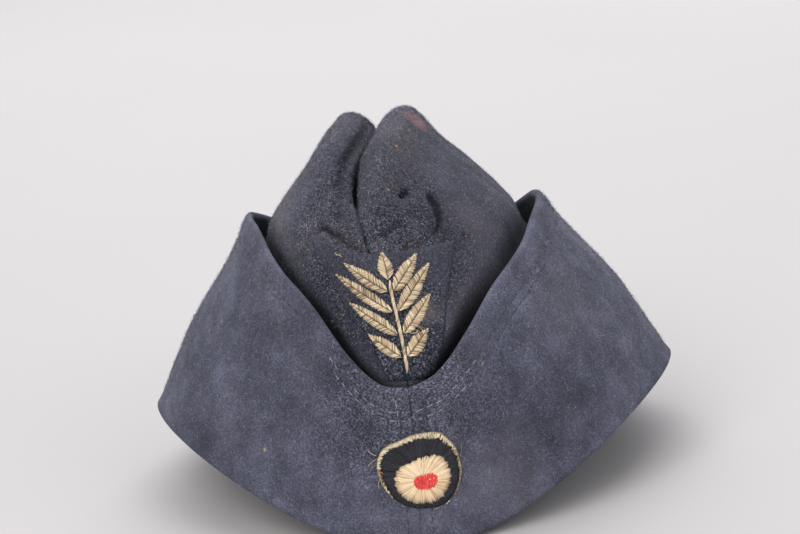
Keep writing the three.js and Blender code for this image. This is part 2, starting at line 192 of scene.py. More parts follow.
# Folds of the crown's front: their line of (x, z) places on a front view, their height and width,
# and then how far back they reach and how their ends fade, where that isn't as usual.
CROWN_FOLDS = [
    # the hollow between the left hump and the pinched cloth beside the cleft, then that cloth
    ([
        (-5, 126), (-8.2, 125), (-11.2, 123.2), (-14.2, 120.4), (-16.1, 116), (-16.8, 110), (-16.6, 104),
    ], -2.8, 2.1, 12, 0.5),
    ([
        (-8.2, 122.6), (-10.8, 120.3), (-12.8, 117.2), (-13.6, 113), (-13.5, 109), (-12.6, 105.5),
    ], 0.9, 1.7),
    # the shoulder on the right
    ([(22, 112), (30, 104), (36, 96)], -0.9, 3.2),
    # a puckered crease at the left above the badge, the cloth that swells below it, the crease's
    # end, and a shallower crease beside the cleft
    ([(-26, 102.6), (-24, 103.9), (-22, 104), (-20, 102.8), (-18.2, 101.7), (-14.8, 99.9)], -2.6, 0.85),
    ([(-24.5, 100.2), (-20.5, 99.6), (-16.5, 97.6)], 0.8, 2.2),
    ([(-16.2, 100.6), (-13.4, 99.3), (-11.2, 97.8), (-9.8, 95.4)], -2.0, 0.85),
    ([(-8.6, 100.6), (-5, 100.9), (-1.2, 101.6), (1.4, 102.8), (3.5, 104)], -1.5, 0.9),
    # the moth hole
    ([(4.6, 110.9), (6.3, 110.3)], -3.2, 0.95, 0, 0.1),
    # a crescent dent at the right above the badge, and the cloth that swells beside it
    ([(13.2, 108), (15.3, 105), (16.4, 101.8), (16.3, 99.2), (14.8, 97.4)], -3.8, 1.15, 0, 0.5),
    ([(9.5, 107), (12, 104), (12.4, 100.8), (11, 97)], 1.1, 2.6),
    ([(4.2, 102.6), (6.8, 100.6), (9.4, 97.4)], 0.6, 1.6),
]
DARKEST_DENT = 3.1           # depth from which a dent's bottom lies in full shade


def fold_height(p, places, peak, width, reach=0, fading=0.7):
    """Height of one fold at points of the crown."""
    rows = {"at": np.linspace(0, 1, len(places)), **table("x z", places)}
    line = np.stack([curve(rows, axis, np.linspace(0, 1, 80)) for axis in "xz"], -1)
    flat = p.reshape(-1, 3)
    near = (flat[:, 1] < reach) & (np.abs(flat[:, 0] - line[:, 0].mean()) < 40)
    height = np.zeros(len(flat))
    gap = flat[near][:, None, [0, 2]] - line[None]
    distance = np.hypot(gap[..., 0], gap[..., 1])
    along = distance.argmin(1) / (len(line) - 1)
    fade = np.sin(math.pi * np.clip(along, 0.02, 0.98)) ** fading
    height[near] = peak * fade * np.exp(-((distance.min(1) / width) ** 2))
    return height.reshape(p.shape[:-1])


def crown_relief(p, from_seam):
    height = 0.55 * ripple(p, 46, 3) + 0.16 * ripple(p, 15, 4) + 0.05 * ripple(p, 5.5, 5)
    height = sum((fold_height(p, *fold) for fold in CROWN_FOLDS), height)
    return height - 0.8 * np.exp(-((from_seam / 0.8) ** 2))


def crown_hollow(side, turn, around):
    """How hidden from the light a place on the crown is, from 0 to 1, for its painted shade: folds, seam
    and the gap.
    """
    p, from_seam, _ = off_surface(cleft_form, side, turn, around, 0 * turn)
    dents = sum(np.minimum(fold_height(p, *fold), 0) for fold in CROWN_FOLDS)
    seam = 0.92 * np.exp(-((from_seam / 0.85) ** 2)) * smoothstep(30, 60, seam_angle(p))
    gap = 0.97 * smoothstep(0.3, 0.85, tucked(side, turn, around))
    return 1 - (1 - np.clip(-dents / DARKEST_DENT, 0, 0.85)) * (1 - seam) * (1 - gap)


STITCH = {"pitch": 3.5, "length": 3.0, "radius": 0.14}
EDGE_ROWS = (6.8, 9.8)       # stitch rows below the flap's upper edge
SEAM_ROW = 3.9               # stitch rows beside the front and rear seams


def flap_relief(p, from_seam, below):
    """Height of the flap's outer face over its plain form: seams, stitch rows and the soft hem."""
    height = 0.05 * ripple(p, 5, 10)
    ridges = [(-0.15, from_seam, 0, 0.6), (0.15, from_seam, 1.9, 1), (-0.15, from_seam, SEAM_ROW, 0.55)]
    ridges += [(-0.3, below, row, 0.6) for row in EDGE_ROWS] + [(0.25, below, 4, 3)]
    for rise, distance, middle, width in ridges:
        height = height + rise * np.exp(-(((distance - middle) / width) ** 2))
    return height


def off_surface(surface, side, turn, around, off):
    """A point off a surface, its distance from the centre seam and the outward direction."""
    out = outward(surface, side, turn, around)
    p = surface(side, turn, around) + out * np.asarray(off)[..., None]
    from_seam = np.maximum(side * p[..., 0], SEAM_GAP / 2)
    p[..., 0] = side * from_seam
    return lean(p), from_seam, out


def by_side(tables, side, turn, column):
    """A column of the left or the right table, read by the turn from front to rear."""
    left, right = (curve(tables[key], column, np.degrees(turn)) for key in (-1, 1))
    return np.where(np.asarray(side) < 0, left, right)


def flap_top(side, turn):
    return np.interp(by_side(FLAP_EDGE, side, turn, "rise"), RISE, AROUND)


def tucked(side, turn, around):
    """How far the crown has drawn in there, from 0 well above the flap's edge to 1 behind it."""
    rise = curve(CROWN, "rise", around)
    above = (rise - by_side(FLAP_EDGE, side, turn, "rise")) * (ridge_height(turn) - rim_height(turn))
    return (1 - smoothstep(-TUCK_REACH, TUCK_REACH, above)) * smoothstep(0, 0.3, rise)


def on_crown(side, turn, around, off):
    p, from_seam, _ = off_surface(cleft_form, side, turn, around, 0 * off)
    tuck = by_side(TUCK, side, turn, "depth") * tucked(side, turn, around)
    return off_surface(cleft_form, side, turn, around, off + crown_relief(p, from_seam) - tuck)[0]


def flap_height(side, turn):
    """Length of the flap's cloth from the rim to its upper edge."""
    top = form(side, turn, flap_top(side, turn))
    return np.linalg.norm(top - form(side, turn, 0 * turn), axis=-1) * 1.02


def on_flap(side, turn, around, off):
    """A point on the flap: its inner face at off 0, its outer face at FLAP_CLOTH."""
    share = np.clip(around / flap_top(side, turn), 0, 1)
    stand = by_side(FLAP_EDGE, side, turn, "off") * share**STAND_CURVE
    p, from_seam, out = off_surface(form, side, turn, around, FLAP_GAP + stand + off)
    sway = (0.5 * ripple(p, 52, 8) + 0.13 * ripple(p, 14, 9)) * smoothstep(0.02, 0.25, share)
    below = (1 - share) * flap_height(side, turn)
    face = flap_relief(p, from_seam, below) * np.clip(off / FLAP_CLOTH, 0, 1)
    p = p + out * (sway + face)[..., None]
    # the offset pushes the halves apart at the centre seam, and this closes them again
    apart = side * out[..., 0] * (FLAP_GAP + stand + off + sway + face) + SEAM_SHUT
    beside = side * form(side, turn, around)[..., 0] - SEAM_GAP / 2
    p[..., 0] -= side * apart * np.exp(-beside / 2)
    return p


def on_fold(side, turn, out, up):
    """A point of the fold under the rim: how far out from the rim's edge, and how high."""
    flat = outward(form, side, turn, 0 * turn) * (1, 1, 0)
    p = form(side, turn, 0 * turn) + unit(flat) * np.asarray(out)[..., None]
    p[..., 2] = rim_height(turn) + up
    p[..., 0] = side * np.maximum(side * p[..., 0], SEAM_GAP / 2)
    return lean(p)


def over_crown(side, turn, around, lift=0.0):
    """Points over the crown's cloth, and its outward directions."""
    return on_crown(side, turn, around, lift + 0 * turn), outward(cleft_form, side, turn, around)


def over_flap(side, turn, around, lift=0.0):
    """Points over the flap's outer face, and its outward directions."""
    return on_flap(side, turn, around, FLAP_CLOTH + lift + 0 * turn), outward(form, side, turn, around)


def behind(x, z):
    """Side, turn and way up of the form's points straight behind places on a front view."""
    x, z = np.broadcast_arrays(np.asarray(x, float), np.asarray(z, float))
    side = np.where(x < 0, -1, 1)
    out = np.maximum(np.abs(x) - SEAM_GAP / 2, 0)
    low, high = np.zeros(x.shape), np.ones(x.shape)
    for _ in range(36):
        around = (low + high) / 2
        width = np.maximum(curve(CROWN, "width", around), 0.001)
        turn = np.arcsin(np.minimum(out / width, 1) ** (1 / ROUNDNESS))
        under = (out < width) & (height_at(turn, around) < z)
        low, high = np.where(under, around, low), np.where(under, high, around)
    return side, turn, around


def crown_face(x, z, lift):
    """Points over the crown's cloth behind places on a front view, and its outward directions."""
    return over_crown(*behind(x, z), lift)


# ---------------- meshes

def new_piece(name, vertices, quads, materials, slots=None, ends=(), uv=None, hollow=None, smooth=True):
    """A mesh object, given in millimetres: materials go by face, UVs and hollows by vertex."""
    mesh = bpy.data.meshes.new(name)
    mesh.from_pydata(vertices * MM, [], [*quads.tolist(), *ends])
    mesh.polygons.foreach_set("use_smooth", [smooth] * len(quads) + [False] * len(ends))
    for material in materials:
        mesh.materials.append(material)
    if slots is not None:
        mesh.polygons.foreach_set("material_index", np.asarray(slots, np.int32))
    if uv is not None:
        corners = np.concatenate([quads.ravel(), *ends])
        mesh.uv_layers.new(name="cloth").data.foreach_set("uv", uv.reshape(-1, 2)[corners].ravel())
    if hollow is not None:
        mesh.attributes.new("hollow", "FLOAT", "POINT").data.foreach_set("value", np.ravel(hollow))
    mesh.update()
    mesh.validate()
    piece = bpy.data.objects.new(name, mesh)
    bpy.context.scene.collection.objects.link(piece)
    return piece


def grid_faces(rows, columns):
    """Quads over a grid of points whose last column meets its first."""
    row = np.arange(rows - 1)[:, None] * columns
    column = np.arange(columns)[None]
    after = (column + 1) % columns
    corners = [row + column, row + after, row + columns + after, row + columns + column]
    return np.stack(corners, -1).reshape(-1, 4)


def swept(name, loops, materials, slots=None, uv=None, hollow=None):
    """A closed body through closed loops of points (section, point, xyz), with flat ends."""
    rows, columns = loops.shape[:2]
    quads = grid_faces(rows, columns)
    ends = [np.arange(columns)[::-1], (rows - 1) * columns + np.arange(columns)]
    points = loops.reshape(-1, 3)
    a, b, c = (points[quads[:, k]] for k in (0, 1, 2))
    if np.einsum("ij,ij->", a, np.cross(b, c)) < 0:
        quads = quads[:, ::-1]
        ends = [end[::-1] for end in ends]
    if slots is not None:
        slots = np.concatenate([np.tile(slots, rows - 1), [slots[0], slots[0]]])
    return new_piece(name, points, quads, materials, slots, ends, uv, hollow)


def tubes(name, paths, normals, radius, materials, slots=None, flat=0.8, taper=0.35):
    """Many short six-sided threads in one mesh, from paths (thread, point, xyz) and normals."""
    sides = 6
    threads, steps = paths.shape[:2]
    along = unit(np.gradient(paths, axis=1))
    aside = unit(np.cross(along, normals))
    over = unit(np.cross(aside, along))
    angle = np.linspace(0, 2 * math.pi, sides, endpoint=False)
    size = np.ones(steps)
    size[0] = size[-1] = taper
    radius = np.broadcast_to(np.asarray(radius, float).reshape(-1, 1), (threads, steps)) * size
    ring = np.cos(angle)[:, None] * aside[:, :, None] + flat * np.sin(angle)[:, None] * over[:, :, None]
    points = paths[:, :, None] + ring * radius[..., None, None]
    start, end = np.arange(sides), (steps - 1) * sides + np.arange(sides)
    caps = [start[[3, 2, 1, 0]], start[[5, 4, 3, 0]], end[[0, 1, 2, 3]], end[[0, 3, 4, 5]]]
    one = np.concatenate([grid_faces(steps, sides), caps])
    quads = (one[None] + (np.arange(threads) * steps * sides)[:, None, None]).reshape(-1, 4)
    slots = None if slots is None else np.repeat(slots, len(one))
    return new_piece(name, points.reshape(-1, 3), quads, materials, slots)


# ---------------- materials

def srgb(red, green, blue):
    """A colour given as it looks on screen, 0 to 255, as the shaders want it."""
    values = np.array([red, green, blue]) / 255
    linear = np.where(values <= 0.04045, values / 12.92, ((values + 0.055) / 1.055) ** 2.4)
    return (*linear, 1.0)


class Shader:
    """A material's node tree, built one node at a time."""

    def __init__(self, name, roughness, sheen=0.0, sheen_roughness=0.5, sheen_tint=(255, 255, 255)):
        self.material = bpy.data.materials.new(name)
        self.material.use_nodes = True
        self.tree = self.material.node_tree
        self.surface = self.tree.nodes["Principled BSDF"]
        looks = {
            "Roughness": roughness, "Specular IOR Level": 0.25, "Sheen Weight": sheen,
            "Sheen Roughness": sheen_roughness, "Sheen Tint": srgb(*sheen_tint),
        }
        for socket, value in looks.items():
            self.surface.inputs[socket].default_value = value
        self.place = self.node("ShaderNodeTexCoord").outputs["Object"]

    def node(self, kind, inputs=(), **settings):
        made = self.tree.nodes.new(kind)
        for key, value in settings.items():
            setattr(made, key, value)
        for key, value in dict(inputs).items():
            if isinstance(value, bpy.types.NodeSocket):
                self.tree.links.new(value, made.inputs[key])
            else:
                made.inputs[key].default_value = value
        return made

    def noise(self, millimetres, detail=2.0, roughness=0.6):
        """Noise whose blotches are about this many millimetres across."""
        scale = 1 / (millimetres * MM * 2)
        inputs = {"Vector": self.place, "Scale": scale, "Detail": detail, "Roughness": roughness}
        return self.node("ShaderNodeTexNoise", inputs).outputs["Fac"]

    def ramp(self, factor, stops):
        made = self.node("ShaderNodeValToRGB", {"Fac": factor})
        elements = made.color_ramp.elements
        while len(elements) < len(stops):
            elements.new(0.5)
        for element, (at, color) in zip(elements, stops):
            element.position = at
            element.color = color
        return made.outputs["Color"]

    def spread(self, factor, low, high, to_low=0.0, to_high=1.0):
        inputs = {"Value": factor, "From Min": low, "From Max": high, "To Min": to_low, "To Max": to_high}
        return self.node("ShaderNodeMapRange", inputs).outputs["Result"]

    def math(self, operation, a, b):
        return self.node("ShaderNodeMath", {0: a, 1: b}, operation=operation).outputs[0]

    def mix(self, factor, a, b, blend="MIX"):
        made = self.node("ShaderNodeMix", {0: factor, 6: a, 7: b}, data_type="RGBA", blend_type=blend)
        return made.outputs[2]

    def shade(self, color, factor):
        """A colour made darker or lighter by a factor."""
        gray = self.node("ShaderNodeCombineColor", dict.fromkeys(("Red", "Green", "Blue"), factor))
        return self.mix(1.0, color, gray.outputs[0], "MULTIPLY")

    def near(self, centre, radius):
        """1 close to a place in millimetres, fading out to 0 round its radius."""
        inputs = {0: self.place, 1: tuple(c * MM for c in centre)}
        distance = self.node("ShaderNodeVectorMath", inputs, operation="DISTANCE").outputs["Value"]
        wobble = self.math("SUBTRACT", self.noise(radius * 0.6), 0.5)
        wobble = self.math("MULTIPLY", wobble, radius * MM * 1.2)
        distance = self.math("ADD", distance, wobble)
        return self.spread(distance, radius * MM * 1.5, radius * MM * 0.5)

    def color(self, socket):
        self.tree.links.new(socket, self.surface.inputs["Base Color"])

    def bump(self, height, depth):
        """Relief of this many millimetres for a height from 0 to 1."""
        made = self.node("ShaderNodeBump", {"Height": height, "Distance": depth * MM, "Strength": 1.0})
        self.tree.links.new(made.outputs["Normal"], self.surface.inputs["Normal"])


def wool(name, tones, spots=(), painted_light=(), bare=None, twill=0.0, mottle=0.16, warm=0.0):
    """Milled melange wool: dark, middle and pale fibres, felted patches, stains, painted light and shade,
    and a faint twill.

    Where the nap is worn bare the fibres stand out singly, and elsewhere it hides them.
    """
    shader = Shader(name, 0.96, sheen=0.1, sheen_roughness=0.45, sheen_tint=(176, 180, 198))
    dark, middle, pale = (srgb(*tone) for tone in tones)
    grain = shader.noise(0.34, detail=3.0, roughness=0.72)
    color = shader.ramp(grain, [(0.3, dark), (0.45, dark), (0.53, middle), (0.6, middle), (0.71, pale)])
    hairs = shader.noise(0.55, detail=4.0, roughness=0.8)
    color = shader.mix(shader.spread(hairs, 0.62, 0.72, 0, 0.55), color, pale)
    color = shader.mix(shader.spread(shader.noise(0.8, detail=3), 0.6, 0.7, 0, 0.5), color, dark)
    if bare:
        worn = shader.near(*bare)
        deep, bright = ((*np.array(tone[:3]) * by, 1) for tone, by in ((dark, 0.5), (pale, 1.25)))
        stops = [(0.36, deep), (0.47, deep), (0.53, middle), (0.59, middle), (0.7, bright)]
        color = shader.mix(shader.spread(worn, 0, 1, 0.35, 0), color, middle)
        color = shader.mix(shader.math("MULTIPLY", worn, 0.75), color, shader.ramp(grain, stops))
    light = shader.spread(shader.noise(5, detail=4.0), 0.32, 0.68, 1 - mottle, 1 + mottle)
    broad = shader.spread(shader.noise(15), 0.32, 0.68, 1 - mottle * 0.8, 1 + mottle * 0.8)
    color = shader.shade(color, shader.math("MULTIPLY", light, broad))
    if warm:
        faded = shader.spread(shader.noise(14, detail=3.0), 0.45, 0.75, 0, warm)
        color = shader.mix(faded, color, srgb(104, 94, 92))
    # painted light and shade: the colour darkened or lightened round given places
    for place, radius, factor in painted_light:
        color = shader.shade(color, shader.spread(shader.near(place, radius), 0, 1, 1, factor))
    for place, radius, tint, strength in spots:
        mask = shader.math("MULTIPLY", shader.near(place, radius), strength)
        color = shader.mix(mask, color, srgb(*tint))
    # painted shade: the colour darkened towards near black where the hollow attribute marks folds, seam
    # and gap
    hidden = shader.node("ShaderNodeAttribute", attribute_name="hollow").outputs["Fac"]
    shader.color(shader.mix(hidden, color, shader.mix(0.86, color, srgb(12, 14, 20))))
    height = shader.math("ADD", grain, shader.math("MULTIPLY", hairs, 0.8))
    if twill:
        uv = shader.node("ShaderNodeUVMap", uv_map="cloth").outputs["UV"]
        turned = shader.node("ShaderNodeMapping", {"Vector": uv, "Rotation": (0, 0, math.radians(52))})
        wave = {"Vector": turned.outputs["Vector"], "Scale": 0.314 / (0.75 * MM), "Distortion": 1.6}
        ribs = shader.node("ShaderNodeTexWave", {**wave, "Detail Scale": 1.2}).outputs["Fac"]
        height = shader.math("ADD", height, shader.math("MULTIPLY", ribs, twill))
    shader.bump(height, 0.30)
    return shader.material


def thread(name, color, other, roughness=0.55, sheen=0.25):
    """Twisted embroidery thread of two colours."""
    shader = Shader(name, roughness, sheen=sheen, sheen_roughness=0.35)
    color, other = srgb(*color), srgb(*other)
    tone = shader.noise(0.9, detail=3.0, roughness=0.7)
    strand = shader.noise(0.16)
    mixed = shader.mix(shader.spread(tone, 0.35, 0.68, 0, 0.55), color, other)
    shader.color(shader.mix(shader.spread(strand, 0.55, 0.75, 0, 0.4), mixed, other))
    shader.bump(strand, 0.10)
    return shader.material


def threads(name, *tones, **look):
    """The materials of one kind of thread: an ending of the name and two colours each."""
    return [thread(name + ending, color, other, **look) for ending, color, other in tones]


# Worn places, holes and stains, with painted shade in the moth hole and along two dents, by their place
# on the cloth, radius, tint and strength.
WORN_AND_SHADED = [
    ((11.5, -1.3, 126.6), 5.5, (150, 104, 98), 0.55),
    ((5.4, -22.3, 126.1), 9.0, (92, 84, 84), 0.35),
    # the moth hole: painted shade, near black
    ((5.3, -41.9, 110.0), 1.4, (4, 4, 8), 1.0),
    ((3.9, -27.6, 123.9), 0.45, (190, 132, 70), 0.9),
    ((0.2, -47.3, 113.3), 0.45, (176, 140, 72), 0.8),
    ((24.4, -44.1, 93.8), 1.4, (14, 14, 24), 1.0),
    ((24.9, -43.9, 93.5), 0.4, (170, 100, 100), 0.8),
    ((-28.2, -51.4, 101.0), 1.0, (30, 30, 40), 0.6),
]
# Painted shade along the bottom of the crescent dent and of the puckered crease.
CRESCENT_SHADE = [
    (13.7, -36.2, 106.3), (15.0, -36.8, 104.8), (15.7, -38.3, 103.2),
    (16.4, -40.4, 101.6), (16.3, -42.6, 99.9), (15.3, -45.0, 98.0),
]
CREASE_SHADE = [
    (-24.5, -53.5, 102.4), (-22.4, -53.2, 102.9), (-19.9, -56.2, 103.0),
    (-17.7, -60.1, 102.6), (-16.1, -62.1, 101.2),
]
# painted shade: dark spots along the bottom of the two dents
WORN_AND_SHADED += [(place, 1.2, (8, 8, 14), 0.85) for place in CRESCENT_SHADE]
WORN_AND_SHADED += [(place, 1.0, (10, 10, 16), 0.75) for place in CREASE_SHADE]
PATCH_MARKS = [
    ((9.1, -74.1, 76.6), 4.0, (98, 90, 86), 0.5),
    ((0.4, -84.4, 58.6), 1.8, (22, 34, 46), 0.85),
    ((3.6, -84.9, 57.6), 0.5, (190, 136, 84), 0.9),
]
FADED = [
    ((-50.3, -72.1, 33.2), 0.55, (172, 150, 96), 0.8),
    ((54.9, -52.3, 69.2), 14.0, (84, 80, 86), 0.3),
    ((28.6, -86.7, 22.0), 14.0, (96, 92, 98), 0.30),
]
# Painted light and shade: parts of the cloth made darker or lighter as the light falls on them, and on
# the crown's front also a darker tone of its cloth, by their place, radius and factor.
CROWN_PAINTED_LIGHT = [
    ((4, -70, 92), 34, 0.84), ((5, -38, 116), 17, 0.84), ((21, -46, 98), 15, 0.80),
    ((-27, -40, 102), 17, 1.28), ((38, -25, 88), 14, 0.88),
]
FLAP_PAINTED_LIGHT = [
    ((-45, -70, 58), 26, 0.88), ((54, -45, 78), 24, 0.92), ((41, -78, 40), 26, 0.84),
    ((-40, -80, 20), 17, 1.18), ((0, -91, 14), 22, 1.16), ((-10, -90, 40), 14, 1.10),
    ((30, -88, 12), 16, 1.06), ((74, -35, 52), 18, 1.08),
]
CROWN_TONES = ((26, 28, 38), (67, 68, 80), (154, 153, 162))
FLAP_TONES = ((50, 52, 67), (82, 83, 98), (131, 131, 143))
# the inside faces' tones, darkened as painted shade
SHADED_INSIDE_TONES = ((30, 31, 38), (58, 58, 66), (96, 96, 104))
FELT_TONES = ((20, 20, 24), (34, 33, 38), (66, 64, 70))

# Where the nap is worn bare, by place and radius.
CROWN_BARE = ((-2, -58, 106), 26)
FLAP_BARE = ((-2, -92, 50), 24)
PATCH_BARE = ((0, -80, 70), 18)

CROWN_WOOL = wool(
    "crown_wool", CROWN_TONES, WORN_AND_SHADED, CROWN_PAINTED_LIGHT, CROWN_BARE, twill=0.25, mottle=0.22, warm=0.35,
)
FLAP_WOOL = wool(
    "flap_wool", FLAP_TONES, FADED, FLAP_PAINTED_LIGHT, FLAP_BARE, twill=0.12, mottle=0.3, warm=0.12,
)
PATCH_WOOL = wool("patch_wool", CROWN_TONES, PATCH_MARKS, CROWN_PAINTED_LIGHT, PATCH_BARE, twill=0.2)
# painted shade: the inside faces are given darker wool
SHADED_INSIDE_WOOL = wool("inside_wool_painted_shade", SHADED_INSIDE_TONES)
BLACK_FELT = wool("black_felt", FELT_TONES, mottle=0.1)
SEWING = [
    thread("grey_thread", (62, 62, 76), (44, 44, 54), roughness=0.9, sheen=0.0),
    thread("pale_stitch", (166, 160, 158), (104, 100, 106), roughness=0.8),
]
BEIGE = threads(
    "beige_thread",
    ("", (192, 171, 140), (154, 132, 104)),
    ("_pale", (220, 203, 172), (184, 163, 130)),
    ("_dark", (152, 130, 102), (112, 94, 74)),
)
CREAM = threads(
    "cream_thread",
    ("", (232, 206, 170), (206, 176, 138)),
    ("_pale", (244, 226, 196), (222, 196, 160)),
    ("_dark", (204, 172, 132), (182, 146, 108)),
)
BORDER = threads(
    "pale_thread",
    ("", (206, 190, 156), (168, 150, 118)),
    ("_light", (232, 220, 192), (200, 184, 150)),
    ("_dark", (158, 140, 110), (112, 98, 80)),
)
BLACK = threads("black_thread", ("", (36, 35, 41), (22, 22, 27)), sheen=0.15)
BLACK += threads("black_thread", ("_worn", (54, 52, 59), (30, 30, 36)), sheen=0.2)
RED = threads("red_thread", ("", (222, 62, 58), (186, 40, 42)), ("_pale", (236, 92, 84), (206, 58, 56)))
FIBRES = threads(
    "wool_fibre",
    ("_dark", (52, 54, 68), (34, 36, 48)),
    ("", (96, 98, 114), (70, 72, 86)),
    ("_pale", (164, 164, 176), (128, 128, 140)),
    roughness=0.9, sheen=0.1,
)


# ---------------- crown and flap

ALONG = 261                  # sections of a half from front to rear
CROWN_UP = 169               # points up the crown's outer face
FLAP_UP = 66                 # points up the flap's outer face
CROWN_LOW = 0.0105           # where the crown's cloth begins on the form
FLAP_LOW = 0.035             # and the flap's above its fold
HEM_ROLL = 1.7
# The fold under the rim, by how far out from the rim's edge and how high.
FOLD_SECTION = [
    (-2.3, 1.45), (-2.6, 0.9), (-2.35, 0.3), (-1.5, 0.03), (0.0, 0.0),
    (1.5, 0.05), (2.4, 0.35), (3.0, 0.9), (3.25, 1.6),
]


def cloth_uv(loops):
    """Metres along and up the cloth for a sweep of loops, from the lengths between its points."""
    across, up = (np.linalg.norm(np.diff(loops, axis=axis), axis=-1) for axis in (0, 1))
    across = np.pad(np.cumsum(across, 0), ((1, 0), (0, 0)))
    up = np.pad(np.cumsum(up, 1), ((0, 0), (1, 0)))
    return np.stack([across - across[len(across) // 2], up], -1) * MM


def trim(piece, slot, *nodes):
    """Marks a piece as part of the object, in place of nodes of the solids."""
    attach(piece, "root")
    if nodes:
        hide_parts(*nodes)


def crown_half(name, side):
    """One half of the crown: its outer face, and its inner face one thickness of cloth below."""
    turn = math.pi * np.linspace(0, 1, ALONG)[:, None] ** 1.15
    up = CROWN_LOW + (1 - CROWN_LOW) * (1 - (1 - np.linspace(0, 1, CROWN_UP)) ** 1.4)
    turns, ups = np.broadcast_arrays(turn, up)
    outer = on_crown(side, turns, ups, 0 * ups)
    inner = on_crown(side, turns[:, ::-4], ups[:, ::-4], 0 * ups[:, ::-4] - CROWN_CLOTH)
    inner[:, -1, 2] = outer[:, 0, 2]
    loops = np.concatenate([outer, inner], 1)
    slots = np.arange(loops.shape[1]) >= CROWN_UP
    hollow = np.zeros(loops.shape[:2])
    hollow[:, :CROWN_UP] = crown_hollow(side, turns, ups)
    piece = swept(f"crown_cloth_{name}", loops, [CROWN_WOOL, SHADED_INSIDE_WOOL], slots, cloth_uv(loops), hollow)
    trim(piece, "crown_wool", f"crown_{name}")


def flap_half(name, side):
    """One half of the flap: outer face, rolled upper edge, inner face and the fold under the rim."""
    turn = np.linspace(0, math.pi, ALONG)
    share = np.linspace(FLAP_LOW, 1, FLAP_UP)
    turns, shares = np.broadcast_arrays(turn[:, None], share)
    arounds = flap_top(side, turn)[:, None] * shares
    outer = on_flap(side, turns, arounds, 0 * turns + FLAP_CLOTH)
    inner = on_flap(side, turns[:, ::-3], arounds[:, ::-3], 0 * turns[:, ::-3])
    middle = (outer[:, -1] + inner[:, 0]) / 2
    out = (outer[:, -1] - inner[:, 0]) / 2
    along = unit(outer[:, -1] - outer[:, -2])
    rolled = [
        middle + out * math.cos(angle) + along * HEM_ROLL * math.sin(angle)
        for angle in np.linspace(0, math.pi, 9)[1:-1]
    ]
    fold = [on_fold(side, turn, out_by, up) for out_by, up in FOLD_SECTION]
    loops = np.concatenate([np.stack(fold, 1), outer, np.stack(rolled, 1), inner], 1)
    slots = np.arange(loops.shape[1]) >= loops.shape[1] - inner.shape[1]
    piece = swept(f"flap_cloth_{name}", loops, [FLAP_WOOL, SHADED_INSIDE_WOOL], slots, cloth_uv(loops))
    trim(piece, "flap_wool", f"flap_{name}")


SIDES = {"left": -1, "right": 1}
for NAME, SIDE in SIDES.items():
    crown_half(NAME, SIDE)
    flap_half(NAME, SIDE)


# ---------------- sewing

STEPS = np.linspace(0, 1, 7)             # along a stitch
FINE_STEPS = np.linspace(0, 1, 6)        # along a fine thread


def edge_line(side, share, below):
    """Places on the form along the flap's upper edge."""
    turn = math.pi * (0.006 + 0.988 * share)
    return turn, flap_top(side, turn) * (1 - below / flap_height(side, turn))


def seam_line(side, share, rear):
    """Places on the form beside the front or the rear seam."""
    around = 0.02 + share * (flap_top(side, 0.02 + 0 * share) - 0.024)
    turn = np.arcsin((SEAM_ROW / curve(CROWN, "width", around)) ** (1 / ROUNDNESS))
    return math.pi - turn if rear else turn, around


def sewn_row(side, line, which):
    """Paths and normals of the stitches along a line of the flap."""
    dense = np.linspace(0, 1, 600)
    points, _ = over_flap(side, *line(side, dense, which))
    reached = np.concatenate([[0], np.cumsum(np.linalg.norm(np.diff(points, axis=0), axis=1))])
    starts = np.arange(0.6, reached[-1] - STITCH["length"], STITCH["pitch"])
    starts = starts + RNG.normal(0, 0.12, len(starts))
    lengths = STITCH["length"] * RNG.uniform(0.88, 1.08, len(starts))
    shares = np.interp(starts[:, None] + lengths[:, None] * STEPS, reached, dense)
    lift = 0.36 * np.sin(math.pi * STEPS) ** 0.6 - 0.25
    paths, normals = over_flap(side, *line(side, shares, which), lift)
    return paths + RNG.normal(0, 0.05, (len(starts), 1, 3)), normals


def sewing(name, side):
    """Two rows along the flap's upper edge, and one beside its front and its rear seam.

    The thread is pale by the front, above the roundel, and has darkened elsewhere.
    """
    lines = [(edge_line, below, 0.95) for below in EDGE_ROWS]
    lines += [(seam_line, False, 0.6 if side < 0 else 0.1), (seam_line, True, 0)]
    rows = []
    for line, which, pale in lines:
        paths, normals = sewn_row(side, line, which)
        x, y, z = paths[:, 3].T
        chance = pale * np.exp(-((np.arctan2(x, -y) / 0.3) ** 4)) * (z > 42)
        rows.append((paths, normals, RNG.random(len(paths)) >= chance))
    paths, normals, slots = (np.concatenate(part) for part in zip(*rows))
    piece = tubes(f"flap_stitches_{name}", paths, normals, STITCH["radius"], SEWING[::-1], slots)
    trim(piece, "flap_wool")


def sew(name, face, x, z, lift, radius, materials, slots, slot, *nodes, **shape):
    """Threads over a face, laid through places on a front view, as a piece of the object."""
    trim(tubes(name, *face(x, z, lift + 0 * x), radius, materials, slots, **shape), slot, *nodes)


for NAME, SIDE in SIDES.items():
    sewing(NAME, SIDE)


# ---------------- front patch and sprig

# The patch's lower and upper corners on a front view, left and right.
PATCH = np.array([[(-6, 57), (10, 57)], [(-19, 101), (28, 94)]], float)
PATCH_LOW = 0.15             # the patch's underside over the crown's cloth
PATCH_THICK = 0.85
PATCH_WIDE, PATCH_HIGH = 38, 42
PATCH_ROUND = 2.4            # how far in its upper edge is rounded
PATCH_EDGE = 0.05            # thickness left at its edge
PATCH_TOP = PATCH_LOW + PATCH_THICK


